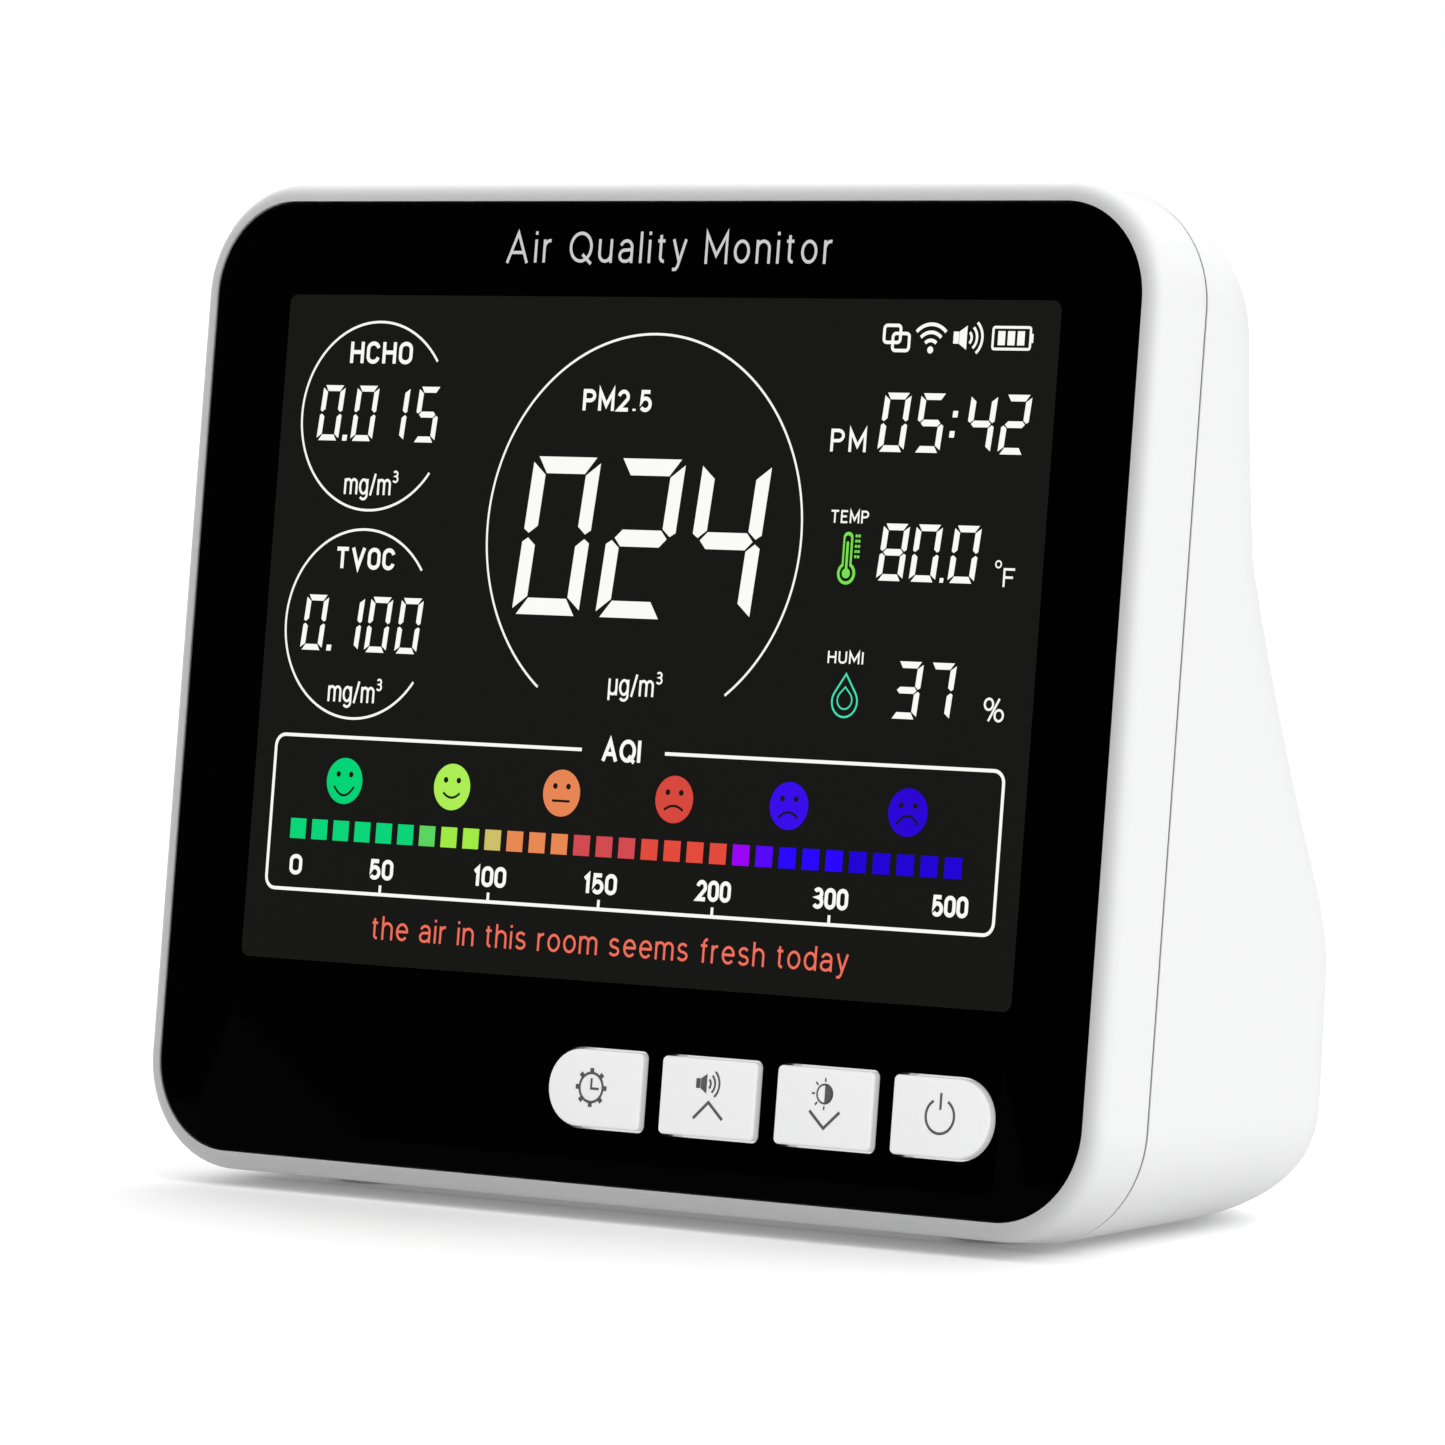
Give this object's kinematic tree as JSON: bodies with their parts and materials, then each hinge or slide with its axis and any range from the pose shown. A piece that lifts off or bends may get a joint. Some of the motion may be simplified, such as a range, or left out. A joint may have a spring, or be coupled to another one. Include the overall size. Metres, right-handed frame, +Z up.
{
  "type": "desktop air quality monitor",
  "caption": "Desktop air quality monitor: white leaning case on a deep foot block, glossy black front with a display and push buttons, a fan-fed particle sensor and a power socket.",
  "frame": {"origin": "on the surface it stands on, at the middle of the bounding box's base", "axes": "+Z up, +X to the right as the display is read, +Y from the front towards the back; the front leans back 7 degrees"},
  "size_m": [0.122, 0.0548, 0.1047],
  "materials": {
    "case_white": "fine satin moulding, white",
    "lens_black": "polished black acrylic",
    "tape_black": "thin black adhesive sheet",
    "button_white": "satin white caps",
    "dark_plastic": "black moulded plastic",
    "can_steel": "stamped thin steel",
    "board_green": "green circuit board",
    "display_glass": "dark display panel",
    "guide_clear": "clear diffusing sheet",
    "flex_amber": "amber flexible circuit",
    "battery_blue": "blue heat-shrink wrap",
    "lead_red": "insulated lead",
    "mesh_black": "fine black dust mesh",
    "screw_steel": "plain steel",
    "foot_rubber": "pale grey rubber"
  },
  "bodies": {
    "case": {"front_frame": "case_white", "rear_shell": "case_white", "front_lens": "lens_black", "lens_tape": "tape_black", "switch_body_timer": "can_steel", "switch_body_up": "can_steel", "switch_body_down": "can_steel", "switch_body_power": "can_steel", "button_board": "board_green", "lcd_glass": "display_glass", "light_guide": "guide_clear", "lcd_tray": "can_steel", "display_flex": "flex_amber", "button_flex": "flex_amber", "main_board": "board_green", "processor_chip": "dark_plastic", "wifi_module": "can_steel", "formaldehyde_sensor": "can_steel", "voc_sensor": "can_steel", "humidity_sensor": "dark_plastic", "sensor_case": "can_steel", "sensor_lid": "can_steel", "inlet_duct": "dark_plastic", "speaker": "dark_plastic", "battery_cell": "battery_blue", "battery_clip": "dark_plastic", "battery_lead": "lead_red", "power_board": "board_green", "usb_c_socket": "can_steel", "vent_mesh": "mesh_black", "board_screw_1": "screw_steel", "board_screw_2": "screw_steel", "board_screw_3": "screw_steel", "board_screw_4": "screw_steel", "case_screw_1": "screw_steel", "case_screw_2": "screw_steel", "rubber_foot_1": "foot_rubber", "rubber_foot_2": "foot_rubber", "rubber_foot_3": "foot_rubber", "rubber_foot_4": "foot_rubber"},
    "timer_button": {"button_timer": "button_white", "switch_plunger_timer": "dark_plastic"},
    "up_button": {"button_up": "button_white", "switch_plunger_up": "dark_plastic"},
    "down_button": {"button_down": "button_white", "switch_plunger_down": "dark_plastic"},
    "power_button": {"button_power": "button_white", "switch_plunger_power": "dark_plastic"},
    "fan": {"fan_rotor": "dark_plastic"}
  },
  "joints": [
    {"name": "timer_press", "type": "slide", "parent": "case", "child": "timer_button", "axis": [0, 0.9925, -0.1219], "range_m": [0, 0.0005], "stiffness_N_per_m": 2000},
    {"name": "up_press", "type": "slide", "parent": "case", "child": "up_button", "axis": [0, 0.9925, -0.1219], "range_m": [0, 0.0005], "stiffness_N_per_m": 2000},
    {"name": "down_press", "type": "slide", "parent": "case", "child": "down_button", "axis": [0, 0.9925, -0.1219], "range_m": [0, 0.0005], "stiffness_N_per_m": 2000},
    {"name": "power_press", "type": "slide", "parent": "case", "child": "power_button", "axis": [0, 0.9925, -0.1219], "range_m": [0, 0.0005], "stiffness_N_per_m": 2000},
    {"name": "fan_spin", "type": "hinge", "parent": "case", "child": "fan", "pos_m": [-0.018, 0.00124, 0.02804], "axis": [0, 0.9925, -0.1219], "continuous": true}
  ]
}
